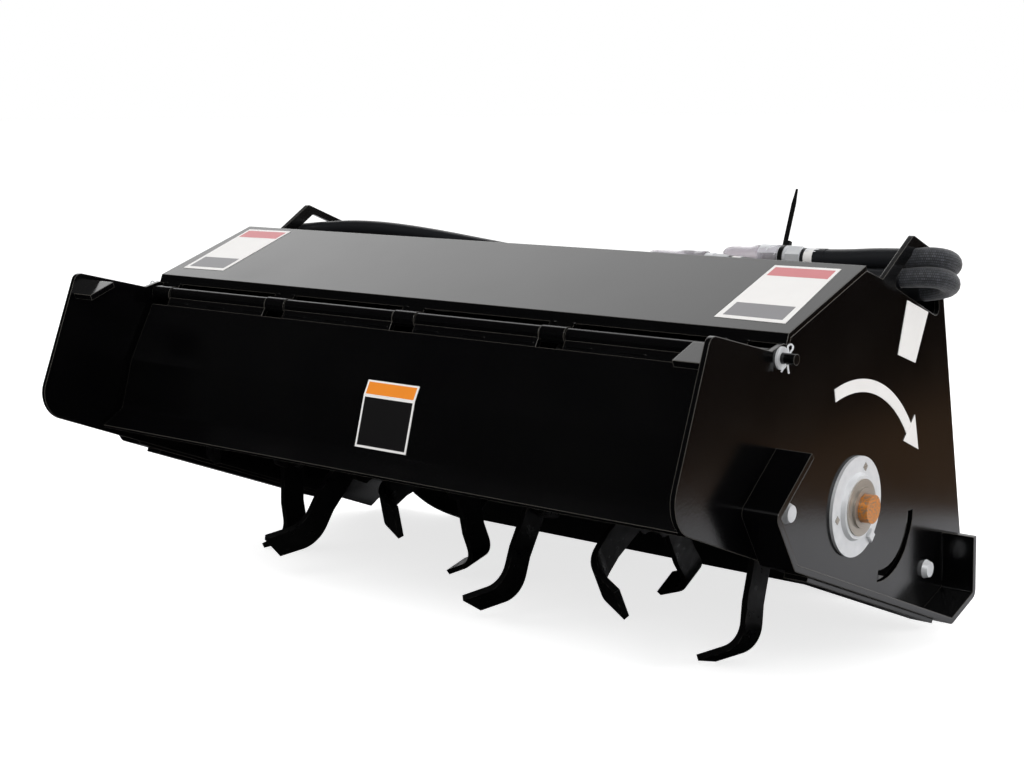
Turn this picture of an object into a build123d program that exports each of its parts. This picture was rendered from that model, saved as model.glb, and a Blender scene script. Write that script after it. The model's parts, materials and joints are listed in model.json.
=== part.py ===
"""Hydraulic rotary tiller attachment for a mini loader, standing as it parks.

The pieces are drawn in the machine's own axes: X across, from the motor end to the bearing end,
Y towards the loader, Z up, with the origin on the rotor's axis at mid-width and the skid runners
level. Unhooked, the tiller leans back until it stands on its tines and on the loader plate's lower
edge. At the end every piece is turned to that stance and set on the floor.
"""
import os
from math import asin, atan2, cos, degrees, hypot, pi, radians, sin, sqrt, tan

from build123d import *

# Housing: two side plates, 42 inches apart, under a sloping deck
inner_width = 1067.0
plate_t = 6.35
deck_t = 6.35
wall_t = 6.35

# Side plate outline, as (y, z) about the rotor's axis
wing_front_y = -395.0
wing_top_z = 108.0
wing_back = (-268.0, 124.0)
wing_corner_r = 42.0
wing_tip_r = 12.0
plate_bottom_z = -100.0
plate_heel_y = 330.0
deck_front = (-240.0, 152.0)
deck_rear = (-96.0, 275.0)
deck_lip_drop = 13.0
ear_notch = (-47.0, 273.0)
ear_peak = (9.0, 347.0)
ear_front_bar = 19.0
ear_top_bar = 11.0
ear_rear_bar = 14.0
ear_hole_r = 9.0
ear_tip_r = 7.0

# Rear wall: a plane that leans towards the loader at its foot
rear_lean = 35.4
rear_distance = 278.0
rear_wall_top = -170.0
rear_wall_foot = 255.0

# Curved slot in the bearing-side plate
slot_centre = (89.0, 0.0)
slot_r = 72.0
slot_width = 15.0
slot_from = -80.0
slot_to = 20.0

# Loader plate: flat face, hook lip above, latch shelf below
loader_plate_width = 813.0
loader_plate_t = 8.0
loader_plate_top = -70.0
loader_plate_foot = 299.0
hook_lip = 32.0
hook_lean = 45.0
latch_shelf = 62.0
latch_hole_d = 27.0
latch_hole_pitch = 620.0
latch_hole_out = 36.0

# Flap, hinge rod and knuckles
hinge = (-246.0, 122.0)
rod_d = 12.7
rod_overhang = 20.0
knuckle_d = 22.0
knuckle_len = 38.0
knuckle_gap = 1.5
knuckle_count = 5
knuckle_first = 21.75
knuckle_last = 61.25
flap_tube_d = 20.0
rod_fit = 0.2
knuckle_run = 0.6
knuckle_leaf = 12.0
flap_t = 5.0
flap_side_gap = 8.0
flap_top = (-255.0, 102.0)
flap_bend = (-266.0, 12.0)
flap_lip_bend = (-259.0, -60.0)
flap_lip_end = (-284.0, -92.0)
flap_fold_r = 6.0
washer_d = 26.0
washer_t = 2.5
stop_reach = 38.0
stop_t = 8.0
stop_low = (-384.0, 72.0)
stop_high = (-352.0, 101.0)

# Skid shoes: a strap bent up at both ends on each side plate's outer face
skid_width = 45.0
skid_t = 8.0
skid_bend_r = 11.0
skid_path = [(-214.0, 26.0), (-262.0, -56.0), (-196.0, -104.0), (250.0, -104.0), (308.0, -57.0), (273.0, 18.0)]
wear_width = 30.0
wear_t = 6.0
wear_from = -150.0
wear_to = 205.0
bolt_places = [(-160.0, -38.0), (237.0, -40.0)]
bolt_d = 12.7
bolt_head_d = 25.0
bolt_head_h = 7.0
nut_across = 19.0
nut_h = 8.0

# Rotor: tube, flanges and sickle tines
tip_r = 228.0
tube_d = 89.0
tube_wall = 8.0
rotor_end_gap = 28.0
flange_count = 6
flange_end = 100.0
flange_d = 168.0
flange_t = 8.0
flange_turns = [0.0, -45.0, 15.0, -30.0, 30.0, -15.0]  # spread so that low tines stand at both ends
scallop_r = 38.0
scallop_at = 112.0
tines_per_flange = 4
tine_t = 8.0
tine_width = 42.0
tine_root_r = 50.0
tine_sweep_r = 140.0  # from here the blade sweeps back
tine_reach = 64.0
tine_bend = 64.0  # degrees from the shank to the blade
tine_bend_r = 46.0
tine_tip_lead = -6.0
tine_tip_trail = 38.0

# Bearing end
shaft_d = 35.0
shaft_run = 0.3
shaft_overhang = 26.0
shaft_hole_d = 64.0
bearing_flange_d = 124.0
bearing_flange_t = 4.0
bearing_dome_d = 84.0
bearing_dome_h = 9.0
bearing_ring_d = 70.0
bearing_ring_h = 11.0
bearing_collar_d = 50.0
bearing_collar_h = 14.0
bearing_bolt_circle = 100.0
bearing_bolt_d = 10.0

# Motor end
motor_flange = 112.0
motor_flange_t = 16.0
motor_pilot_d = 82.0
motor_body_d = 104.0
motor_body_len = 74.0
motor_cap_d = 92.0
motor_cap_len = 42.0
motor_bolt_circle = 128.0
motor_bolt_d = 12.0
motor_port_x = 52.0
motor_port_y = (-20.0, 22.0)
motor_port_d = 30.0
motor_port_top = 66.0
fitting_d = 24.0
fitting_len = 26.0
drive_shaft_d = 32.0
drive_end_gap = 2.0

# Hoses and couplers
hose_d = 22.0
coupler_d = 31.0
coupler_len = 62.0
ferrule_d = 27.0
ferrule_len = 32.0
cap_d = 33.0
cap_len = 58.0
cap_skirt = 30.0
tie_at = 57.0
tie_width = 5.0
tie_t = 1.8
tie_head = 7.0
tie_tail = 92.0
tie_lean = -11.0

half_in = inner_width / 2
half_out = half_in + plate_t
rod_half = half_out + rod_overhang

# The rear wall's own directions in the side view: along it downwards, and out of it to the loader
down_slope = Vector(sin(radians(rear_lean)), -cos(radians(rear_lean)))
outward = Vector(cos(radians(rear_lean)), sin(radians(rear_lean)))


def on_rear(along, out):
    """Give the (y, z) of a point on the rear wall's grid, in mm down its slope and out from the axis."""
    spot = down_slope * along + outward * out
    return (spot.X, spot.Y)


def toward(start, end, distance):
    """Give the point at a distance from start on the way to end."""
    run = hypot(end[0] - start[0], end[1] - start[1])
    share = distance / run
    return (start[0] + (end[0] - start[0]) * share, start[1] + (end[1] - start[1]) * share)


def on_line_at(first, second, z):
    """Give the y at height z on the line through two (y, z) points."""
    return first[0] + (second[0] - first[0]) * (z - first[1]) / (second[1] - first[1])


deck_slope = atan2(deck_rear[1] - deck_front[1], deck_rear[0] - deck_front[0])
deck_in = Vector(sin(deck_slope), -cos(deck_slope)) * deck_t
deck_seat_rear = (deck_rear[0] + deck_in.X, deck_rear[1] + deck_in.Y)
deck_lip_foot = (deck_front[0], deck_front[1] - deck_lip_drop)
deck_fold_under = deck_seat_rear[1] - (deck_seat_rear[0] - deck_front[0] - deck_t) * tan(deck_slope)
tray_front_y = deck_rear[0]
tray_top = deck_seat_rear[1] - (deck_seat_rear[0] - tray_front_y) * tan(deck_slope)
tray_rear_y = (rear_distance - wall_t - outward.Y * tray_top) / outward.X
ear_rear = (on_line_at(on_rear(0, rear_distance), on_rear(1, rear_distance), ear_peak[1]), ear_peak[1])
plate_rear_foot = on_rear(rear_wall_foot, rear_distance)


# Side plates
def side_plate(x_from):
    """Make one side plate with its wing, its hose ear and its holes, from x_from outwards."""
    front_bar = ear_front_bar / cos(atan2(ear_peak[0] - ear_notch[0], ear_peak[1] - ear_notch[1]))
    rear_bar = ear_rear_bar / outward.X
    hole_low = tray_top + deck_t
    hole_top = ear_peak[1] - ear_top_bar
    hole = [
        (on_line_at(ear_notch, ear_peak, hole_low) + front_bar, hole_low),
        (on_line_at(ear_notch, ear_peak, hole_top) + front_bar, hole_top),
        (on_line_at(ear_rear, plate_rear_foot, hole_top) - rear_bar, hole_top),
        (on_line_at(ear_rear, plate_rear_foot, hole_low) - rear_bar, hole_low),
    ]
    with BuildPart() as plate:
        with BuildSketch(Plane.YZ.offset(x_from)) as outline:
            with BuildLine():
                Polyline(
                    (wing_front_y, plate_bottom_z),
                    (wing_front_y, wing_top_z),
                    wing_back,
                    (hinge[0], deck_lip_foot[1]),
                    (deck_front[0] + deck_t, deck_lip_foot[1]),
                    (deck_front[0] + deck_t, deck_fold_under),
                    deck_seat_rear,
                    ear_notch,
                    ear_peak,
                    ear_rear,
                    plate_rear_foot,
                    (plate_heel_y, plate_bottom_z),
                    close=True,
                )
            make_face()
            rounded = [((wing_front_y, plate_bottom_z), wing_corner_r), ((wing_front_y, wing_top_z), wing_tip_r)]
            rounded += [(ear_peak, ear_tip_r), (ear_rear, ear_tip_r)]
            for corner, corner_r in rounded:
                fillet(outline.vertices().sort_by_distance(corner)[0], corner_r)
        extrude(amount=plate_t)
        with BuildSketch(Plane.YZ.offset(x_from)) as opening:
            with BuildLine():
                Polyline(*hole, close=True)
            make_face()
            fillet(opening.vertices(), ear_hole_r)
        extrude(amount=plate_t, mode=Mode.SUBTRACT)
        with BuildSketch(Plane.YZ.offset(x_from)):
            with Locations(hinge):
                Circle(rod_d / 2 + rod_fit)
            with Locations(*bolt_places):
                Circle(bolt_d / 2 + rod_fit)
        extrude(amount=plate_t, mode=Mode.SUBTRACT)
    return plate.part


with BuildPart() as side_plate_right:
    add(side_plate(half_in))
    with BuildSketch(Plane.YZ.offset(half_in)):
        Circle(shaft_hole_d / 2)
        with PolarLocations(bearing_bolt_circle / 2, 3, start_angle=90):
            Circle(bearing_bolt_d / 2 + rod_fit)
        with BuildLine():
            inner = CenterArc(slot_centre, slot_r - slot_width / 2, slot_from, slot_to - slot_from)
            outer = CenterArc(slot_centre, slot_r + slot_width / 2, slot_from, slot_to - slot_from)
            Line(inner @ 0, outer @ 0)
            Line(inner @ 1, outer @ 1)
        make_face()
    extrude(amount=plate_t, mode=Mode.SUBTRACT)

with BuildPart() as side_plate_left:
    add(side_plate(-half_out))
    with BuildSketch(Plane.YZ.offset(-half_out)):
        Circle(motor_pilot_d / 2 + rod_fit)
        with PolarLocations(motor_bolt_circle / 2, 4, start_angle=45):
            Circle(motor_bolt_d / 2 + rod_fit)
    extrude(amount=plate_t, mode=Mode.SUBTRACT)


# Deck, tray and rear wall: the deck's short knuckles stand between the flap's long ones
knuckle_pitch = (inner_width - knuckle_first - knuckle_last) / (knuckle_count - 1)
knuckle_places = [knuckle_first - half_in + knuckle_pitch * place for place in range(knuckle_count)]
with BuildPart() as deck:
    with BuildSketch(Plane.YZ.offset(-half_out)):
        with BuildLine():
            Polyline(deck_lip_foot, deck_front, deck_rear)
            offset(amount=deck_t, side=Side.RIGHT, kind=Kind.INTERSECTION)
        make_face()
    extrude(amount=2 * half_out)
    for centre in knuckle_places:
        with BuildSketch(Plane.YZ.offset(centre - knuckle_len / 2)):
            with Locations(hinge):
                Circle(knuckle_d / 2)
            with BuildLine():
                Polyline(
                    (deck_lip_foot[0] + deck_t, deck_lip_foot[1]),
                    deck_lip_foot,
                    (hinge[0], hinge[1]),
                    (hinge[0] + deck_t, hinge[1]),
                    close=True,
                )
            make_face()
            with Locations(hinge):
                Circle(rod_d / 2 + rod_fit, mode=Mode.SUBTRACT)
        extrude(amount=knuckle_len)

with BuildPart() as hose_tray:
    with BuildSketch(Plane.YZ.offset(-half_in)):
        with BuildLine():
            Polyline(
                (tray_front_y, tray_top),
                (tray_rear_y, tray_top),
                (tray_rear_y, tray_top - deck_t),
                (tray_front_y, tray_top - deck_t),
                close=True,
            )
        make_face()
    extrude(amount=inner_width)

with BuildPart() as rear_wall:
    with BuildSketch(Plane.YZ.offset(-half_in)):
        with BuildLine():
            Polyline(
                on_rear(rear_wall_top, rear_distance),
                on_rear(rear_wall_foot, rear_distance),
                on_rear(rear_wall_foot, rear_distance - wall_t),
                on_rear(rear_wall_top, rear_distance - wall_t),
                close=True,
            )
        make_face()
    extrude(amount=inner_width)

# Loader plate
shelf_start = on_rear(loader_plate_foot, rear_distance)
shelf_end = on_rear(loader_plate_foot, rear_distance + loader_plate_t + latch_shelf)
hook_root = on_rear(loader_plate_top, rear_distance)
hook_out = hook_lip * sin(radians(hook_lean))
hook_up = hook_lip * cos(radians(hook_lean))
hook_tip = on_rear(loader_plate_top - hook_up, rear_distance + hook_out)
shelf_plane = Plane(
    origin=(0, *on_rear(loader_plate_foot, rear_distance)),
    x_dir=(1, 0, 0),
    z_dir=(0, down_slope.X, down_slope.Y),
)

with BuildPart() as loader_plate:
    with BuildSketch(Plane.YZ.offset(-loader_plate_width / 2)):
        with BuildLine():
            Polyline(hook_tip, hook_root, shelf_start, shelf_end)
            offset(amount=loader_plate_t, side=Side.LEFT, kind=Kind.INTERSECTION)
        make_face()
    extrude(amount=loader_plate_width)
    with BuildSketch(shelf_plane):
        with GridLocations(latch_hole_pitch, 1, 2, 1):
            with Locations((0, -(loader_plate_t + latch_hole_out))):
                Circle(latch_hole_d / 2)
    extrude(amount=-2 * loader_plate_t, mode=Mode.SUBTRACT)

# Hinge rod and its retainers
with BuildPart() as hinge_rod:
    with BuildSketch(Plane.YZ.offset(-rod_half)):
        with Locations(hinge):
            Circle(rod_d / 2)
    extrude(amount=2 * rod_half)

with BuildPart() as rod_retainers:
    for side in (-1, 1):
        washer_plane = Plane.YZ.offset(side * half_out)
        with BuildSketch(washer_plane):
            with Locations(hinge):
                Circle(washer_d / 2)
                Circle(rod_d / 2 + rod_fit, mode=Mode.SUBTRACT)
        extrude(amount=side * washer_t)

# Flap
tube_starts = [centre + knuckle_len / 2 + knuckle_gap for centre in knuckle_places]
tube_ends = [centre - knuckle_len / 2 - knuckle_gap for centre in knuckle_places[1:]]
tube_ends.append(half_in - flap_side_gap)

with BuildPart() as flap:
    with BuildSketch(Plane.YZ.offset(-(half_in - flap_side_gap))):
        with BuildLine():
            FilletPolyline(flap_top, flap_bend, flap_lip_bend, flap_lip_end, radius=flap_fold_r)
            offset(amount=flap_t, side=Side.LEFT)
        make_face()
    extrude(amount=2 * (half_in - flap_side_gap))
    for tube_start, tube_end in zip(tube_starts, tube_ends):
        with BuildSketch(Plane.YZ.offset(tube_start)):
            with Locations(hinge):
                Circle(flap_tube_d / 2)
            with BuildLine():
                Polyline(
                    toward(flap_top, flap_bend, knuckle_leaf),
                    (flap_top[0] + flap_t, flap_top[1] - knuckle_leaf),
                    (hinge[0] + flap_t / 2, hinge[1]),
                    (hinge[0] - knuckle_d / 4, hinge[1]),
                    close=True,
                )
            make_face()
            with Locations(hinge):
                Circle(rod_d / 2 + knuckle_run, mode=Mode.SUBTRACT)
        extrude(amount=tube_end - tube_start)

with BuildPart() as flap_stops:
    for x_from in (-half_in, half_in - stop_reach):
        with BuildSketch(Plane.YZ.offset(x_from)):
            with BuildLine():
                Line(stop_low, stop_high)
                offset(amount=stop_t, side=Side.LEFT)
            make_face()
        extrude(amount=stop_reach)


# Skid shoes
def skid(x_from):
    """Make one skid shoe's bent strap, from x_from outwards."""
    with BuildPart() as strap:
        with BuildSketch(Plane.YZ.offset(x_from)):
            with BuildLine():
                FilletPolyline(*skid_path, radius=skid_bend_r)
                offset(amount=skid_t, side=Side.LEFT)
            make_face()
        extrude(amount=skid_width)
    return strap.part


with BuildPart() as skid_right:
    add(skid(half_out))

with BuildPart() as skid_left:
    add(skid(-half_out - skid_width))

skid_under = skid_path[2][1]
wear_inset = (skid_width - wear_width) / 2

with BuildPart() as wear_strips:
    for x_from in (half_out + wear_inset, -half_out - wear_inset - wear_width):
        with BuildSketch(Plane.YZ.offset(x_from)):
            with Locations(((wear_from + wear_to) / 2, skid_under - wear_t / 2)):
                Rectangle(wear_to - wear_from, wear_t)
        extrude(amount=wear_width)

with BuildPart() as skid_bolts:
    for side in (-1, 1):
        with BuildSketch(Plane.YZ.offset(side * half_out)):
            with Locations(*bolt_places):
                Circle(bolt_head_d / 2)
        extrude(amount=side * bolt_head_h, taper=20)
        with BuildSketch(Plane.YZ.offset(side * half_out)):
            with Locations(*bolt_places):
                Circle(bolt_d / 2)
        extrude(amount=-side * (plate_t + nut_h))
        with BuildSketch(Plane.YZ.offset(side * half_in)):
            with Locations(*bolt_places):
                RegularPolygon(nut_across / 2, 6, major_radius=False)
        extrude(amount=-side * nut_h)

# Rotor tube and its shafts
rotor_half = half_in - rotor_end_gap

with BuildPart() as rotor_tube:
    with BuildSketch(Plane.YZ.offset(-rotor_half)):
        Circle(tube_d / 2)
        Circle(tube_d / 2 - tube_wall, mode=Mode.SUBTRACT)
    extrude(amount=2 * rotor_half)

with BuildPart() as stub_shaft:
    with BuildSketch(Plane.YZ.offset(rotor_half - 2 * tube_wall)):
        Circle(tube_d / 2 - tube_wall)
    extrude(amount=2 * tube_wall)
    with BuildSketch(Plane.YZ.offset(rotor_half)):
        Circle(shaft_d / 2)
    extrude(amount=half_out + shaft_overhang - rotor_half)

with BuildPart() as drive_hub:
    with BuildSketch(Plane.YZ.offset(-rotor_half)):
        Circle(tube_d / 2 - tube_wall)
    extrude(amount=2 * tube_wall)
    with BuildSketch(Plane.YZ.offset(-rotor_half)):
        Circle(drive_shaft_d / 2)
    extrude(amount=-(half_out + motor_flange_t - drive_end_gap - rotor_half))

# Flanges, scalloped between the tines
tine_step = 360.0 / tines_per_flange / flange_count
flange_pitch = (inner_width - 2 * flange_end) / (flange_count - 1)
flange_places = [flange_end - half_in + flange_pitch * place for place in range(flange_count)]

with BuildPart() as rotor_flanges:
    for centre, turn in zip(flange_places, flange_turns):
        with BuildSketch(Plane.YZ.offset(centre - flange_t / 2)):
            Circle(flange_d / 2)
            with PolarLocations(scallop_at, tines_per_flange, start_angle=turn + 180.0 / tines_per_flange):
                Circle(scallop_r, mode=Mode.SUBTRACT)
            Circle(tube_d / 2, mode=Mode.SUBTRACT)
        extrude(amount=flange_t)

# Tines: a strap bent sideways from shank to blade, trimmed to a swept outline
tine_low = sqrt(tip_r**2 - tine_tip_trail**2)
tine_corner_r = tine_low - tine_reach / tan(radians(tine_bend))

with BuildPart() as tine:
    with BuildSketch(Plane.XZ):
        with BuildLine():
            FilletPolyline(
                (flange_t / 2, -tine_root_r),
                (flange_t / 2, -tine_corner_r),
                (flange_t / 2 + tine_reach, -tine_low),
                radius=tine_bend_r,
            )
            offset(amount=tine_t, side=Side.LEFT)
        make_face()
    extrude(amount=tip_r, both=True)
    with BuildSketch(Plane.YZ):
        with BuildLine():
            Polyline(
                (-tine_width / 2, -tine_root_r),
                (-tine_width / 2, -tine_sweep_r),
                (tine_tip_lead, -tine_low),
                (tine_tip_trail, -tine_low),
                (tine_width / 2, -tine_sweep_r),
                (tine_width / 2, -tine_root_r),
                close=True,
            )
        make_face()
    extrude(amount=tip_r, mode=Mode.INTERSECT)

with BuildPart() as tines:
    for centre, turn in zip(flange_places, flange_turns):
        for place in range(tines_per_flange):
            angle = turn + place * 360.0 / tines_per_flange
            hand = tine.part if place % 2 else mirror(tine.part, about=Plane.YZ, mode=Mode.PRIVATE)
            add(hand.moved(Location((centre, 0, 0), (angle, 0, 0))))

# Bearing
with BuildPart() as bearing_flange:
    with BuildSketch(Plane.XZ):
        with BuildLine():
            Polyline(
                (half_out, bearing_ring_d / 2),
                (half_out, bearing_flange_d / 2),
                (half_out + bearing_flange_t, bearing_flange_d / 2),
                (half_out + bearing_flange_t, bearing_dome_d / 2),
                (half_out + bearing_dome_h, bearing_ring_d / 2 + bearing_flange_t),
                (half_out + bearing_dome_h, bearing_ring_d / 2),
                close=True,
            )
        make_face()
    revolve(axis=Axis.X)
    with BuildSketch(Plane.YZ.offset(half_out)):
        with PolarLocations(bearing_bolt_circle / 2, 3, start_angle=90):
            Circle(bearing_bolt_d / 2 + rod_fit)
    extrude(amount=bearing_flange_t, mode=Mode.SUBTRACT)

with BuildPart() as bearing_insert:
    with BuildSketch(Plane.XZ):
        with BuildLine():
            Polyline(
                (half_out, shaft_d / 2 + shaft_run),
                (half_out, bearing_ring_d / 2),
                (half_out + bearing_ring_h, bearing_ring_d / 2),
                (half_out + bearing_ring_h, bearing_collar_d / 2),
                (half_out + bearing_collar_h, bearing_collar_d / 2),
                (half_out + bearing_collar_h, shaft_d / 2 + shaft_run),
                close=True,
            )
        make_face()
    revolve(axis=Axis.X)

with BuildPart() as bearing_bolts:
    with BuildSketch(Plane.YZ.offset(half_in - bolt_head_h)):
        with PolarLocations(bearing_bolt_circle / 2, 3, start_angle=90):
            Circle(bearing_bolt_d)
    extrude(amount=bolt_head_h)
    with BuildSketch(Plane.YZ.offset(half_in)):
        with PolarLocations(bearing_bolt_circle / 2, 3, start_angle=90):
            Circle(bearing_bolt_d / 2)
    extrude(amount=plate_t + bearing_flange_t)

# Motor
with BuildPart() as hydraulic_motor:
    with BuildSketch(Plane.YZ.offset(-half_out)) as flange_outline:
        Rectangle(motor_flange, motor_flange)
        fillet(flange_outline.vertices(), motor_bolt_d)
    extrude(amount=-motor_flange_t)
    with BuildSketch(Plane.YZ.offset(-half_out - motor_flange_t)):
        Circle(motor_body_d / 2)
    extrude(amount=-motor_body_len)
    with BuildSketch(Plane.YZ.offset(-half_out - motor_flange_t - motor_body_len)):
        Circle(motor_cap_d / 2)
    extrude(amount=-motor_cap_len)
    for port_y in motor_port_y:
        with BuildSketch(Plane((-half_out - motor_port_x, port_y, 0))):
            Circle(motor_port_d / 2)
        extrude(amount=motor_port_top)
    with BuildSketch(Plane.YZ.offset(-half_in)):
        Circle(motor_pilot_d / 2)
    extrude(amount=-plate_t)
    with BuildSketch(Plane.YZ.offset(-half_in)):
        Circle(drive_shaft_d / 2 + shaft_run)
    extrude(amount=-plate_t - motor_flange_t, mode=Mode.SUBTRACT)

with BuildPart() as hose_fittings:
    for port_y in motor_port_y:
        with BuildSketch(Plane((-half_out - motor_port_x, port_y, motor_port_top))):
            RegularPolygon(fitting_d / 2, 6)
        extrude(amount=fitting_len)

# Hoses: from the motor's ports through the left ear, along the tray, out of the right ear and back
port_x = -half_out - motor_port_x
hose_start_z = motor_port_top + fitting_len
pressure_route = [
    (port_x, motor_port_y[0], hose_start_z),
    (port_x, motor_port_y[0], 160.0),
    (-half_out - 66.0, -10.0, 246.0),
    (-half_out - 46.0, 16.0, 300.0),
    (-half_in + 4.0, 34.0, 314.0),
    (-half_in + 94.0, 44.0, 326.0),
    (-0.60 * half_in, 50.0, 323.0),
    (-0.26 * half_in, 58.0, 306.0),
    (0.13 * half_in, 66.0, 287.0),
    (0.51 * half_in, 72.0, 288.0),
    (half_in - 113.0, 78.0, 306.0),
    (half_in - 45.0, 80.0, 312.0),
    (half_in - 3.0, 79.0, 314.0),
    (half_out + 16.0, 79.0, 317.0),
    (half_out + 30.0, 69.0, 319.0),
    (half_out + 35.0, 53.0, 320.0),
    (half_out + 30.0, 37.0, 319.0),
    (half_out + 16.0, 27.0, 317.0),
    (half_in - 3.0, 27.0, 314.0),
    (half_in - 45.0, 28.0, 315.0),
    (half_in - 120.0, 30.0, 315.0),
]
return_route = [
    (port_x, motor_port_y[1], hose_start_z),
    (port_x, motor_port_y[1], 150.0),
    (-half_out - 64.0, 36.0, 222.0),
    (-half_out - 48.0, 62.0, 276.0),
    (-half_in + 2.0, 78.0, 296.0),
    (-half_in + 94.0, 86.0, 296.0),
    (-0.56 * half_in, 96.0, 283.0),
    (-0.21 * half_in, 101.0, 279.0),
    (0.19 * half_in, 101.0, 280.0),
    (0.54 * half_in, 103.0, 281.0),
    (half_in - 103.0, 101.0, 286.0),
    (half_in - 50.0, 93.0, 288.0),
    (half_in - 3.0, 86.0, 290.0),
    (half_out + 15.0, 84.0, 293.0),
    (half_out + 31.0, 73.0, 295.0),
    (half_out + 37.0, 55.0, 296.0),
    (half_out + 31.0, 37.0, 295.0),
    (half_out + 15.0, 26.0, 292.0),
    (half_in - 3.0, 24.0, 290.0),
    (half_in - 45.0, 20.0, 289.0),
    (half_in - 113.0, 14.0, 290.0),
    (half_in - 213.0, 6.0, 290.0),
]
corner_share = 0.45


def corner_radii(route):
    """Give each corner of a route the largest radius that its two runs leave room for."""
    points = [Vector(*point) for point in route]
    radii = []
    for before, corner, after in zip(points, points[1:], points[2:]):
        arrive = corner - before
        leave = after - corner
        half_turn = radians(arrive.get_angle(leave)) / 2
        radii.append(corner_share * min(arrive.length, leave.length) / tan(half_turn))
    return radii


def hose(route, name):
    """Sweep a hose along a route of straight runs and tangent arcs."""
    radii = corner_radii(route)
    with BuildPart() as tube:
        with BuildLine():
            path = FilletPolyline(*route, radius=radii)
        with BuildSketch(Plane(origin=path @ 0, z_dir=path % 0)):
            Circle(hose_d / 2)
        sweep()
    expected = pi * hose_d**2 / 4 * path.length
    print(name, "length", round(path.length), "tightest radius", round(min(radii)))
    print(name, "volume over section times length", round(tube.part.volume / expected, 4))
    return tube.part


with BuildPart() as pressure_hose:
    add(hose(pressure_route, "pressure_hose"))

with BuildPart() as return_hose:
    add(hose(return_route, "return_hose"))


def coupler(route):
    """Make the crimped ferrule and quick coupler on a hose's end, along its last run."""
    end = Vector(*route[-1])
    along = (end - Vector(*route[-2])).normalized()
    with BuildPart() as body:
        with BuildSketch(Plane(origin=end, z_dir=along)):
            Circle(ferrule_d / 2)
        extrude(amount=ferrule_len)
        with BuildSketch(Plane(origin=end + along * ferrule_len, z_dir=along)):
            RegularPolygon(coupler_d / 2, 6)
        extrude(amount=coupler_len / 3)
        with BuildSketch(Plane(origin=end + along * (ferrule_len + coupler_len / 3), z_dir=along)):
            Circle(coupler_d / 2)
        extrude(amount=2 * coupler_len / 3)
    return body.part


def dust_cap(route):
    """Make the dust cap that slips over a coupler's end, along the hose's last run."""
    end = Vector(*route[-1])
    along = (end - Vector(*route[-2])).normalized()
    skirt_plane = Plane(origin=end + along * (ferrule_len + coupler_len - cap_skirt), z_dir=along)
    with BuildPart() as cap:
        with BuildSketch(skirt_plane):
            Circle(cap_d / 2)
        extrude(amount=cap_skirt + cap_len)
        with BuildSketch(skirt_plane):
            Circle(coupler_d / 2 + rod_fit)
        extrude(amount=cap_skirt, mode=Mode.SUBTRACT)
    return cap.part


with BuildPart() as pressure_coupler:
    add(coupler(pressure_route))

with BuildPart() as return_coupler:
    add(coupler(return_route))

with BuildPart() as dust_caps:
    add(dust_cap(pressure_route))
    add(dust_cap(return_route))

# Cable tie round the front coupler, its tail standing up
front_end = Vector(*pressure_route[-1])
front_along = (front_end - Vector(*pressure_route[-2])).normalized()
with BuildPart() as cable_tie:
    with BuildSketch(Plane(origin=front_end + front_along * tie_at, x_dir=(0, 0, 1), z_dir=front_along)):
        Circle(coupler_d / 2 + tie_t)
        with Locations((coupler_d / 2 + tie_head / 2, 0)):
            Rectangle(tie_head, tie_head)
        with BuildLine():
            Polyline(
                (coupler_d / 2, -tie_t / 2),
                (tie_tail, tie_lean - tie_t / 2),
                (tie_tail, tie_lean + tie_t / 2),
                (coupler_d / 2, tie_t / 2),
                close=True,
            )
        make_face()
        Circle(coupler_d / 2, mode=Mode.SUBTRACT)
    extrude(amount=tie_width)

# The parked stance: on the lowest tines and the loader plate's lower edge
stand_r = tip_r * cos(radians(tine_step / 2))
stand_rear = on_rear(loader_plate_foot, rear_distance)
stand_reach = hypot(*stand_rear)
park_tilt = degrees(asin(stand_r / stand_reach)) - degrees(atan2(-stand_rear[1], stand_rear[0]))
tip_lag = degrees(atan2(tine_tip_trail, tine_low))
rest_turn = park_tilt + tine_step / 2 - tip_lag
turn_back = Location((0, 0, 0), (-park_tilt, 0, 0))

rotor_pieces = {
    "rotor_tube": rotor_tube,
    "stub_shaft": stub_shaft,
    "drive_hub": drive_hub,
    "rotor_flanges": rotor_flanges,
    "tines": tines,
}
fixed_pieces = {
    "side_plate_right": side_plate_right,
    "side_plate_left": side_plate_left,
    "deck": deck,
    "hose_tray": hose_tray,
    "rear_wall": rear_wall,
    "loader_plate": loader_plate,
    "hinge_rod": hinge_rod,
    "rod_retainers": rod_retainers,
    "flap": flap,
    "flap_stops": flap_stops,
    "skid_right": skid_right,
    "skid_left": skid_left,
    "wear_strips": wear_strips,
    "skid_bolts": skid_bolts,
    "bearing_flange": bearing_flange,
    "bearing_insert": bearing_insert,
    "bearing_bolts": bearing_bolts,
    "hydraulic_motor": hydraulic_motor,
    "hose_fittings": hose_fittings,
    "pressure_hose": pressure_hose,
    "return_hose": return_hose,
    "pressure_coupler": pressure_coupler,
    "return_coupler": return_coupler,
    "dust_caps": dust_caps,
    "cable_tie": cable_tie,
}
cord_pieces = ["pressure_hose", "return_hose", "pressure_coupler", "return_coupler", "dust_caps", "cable_tie"]

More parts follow.
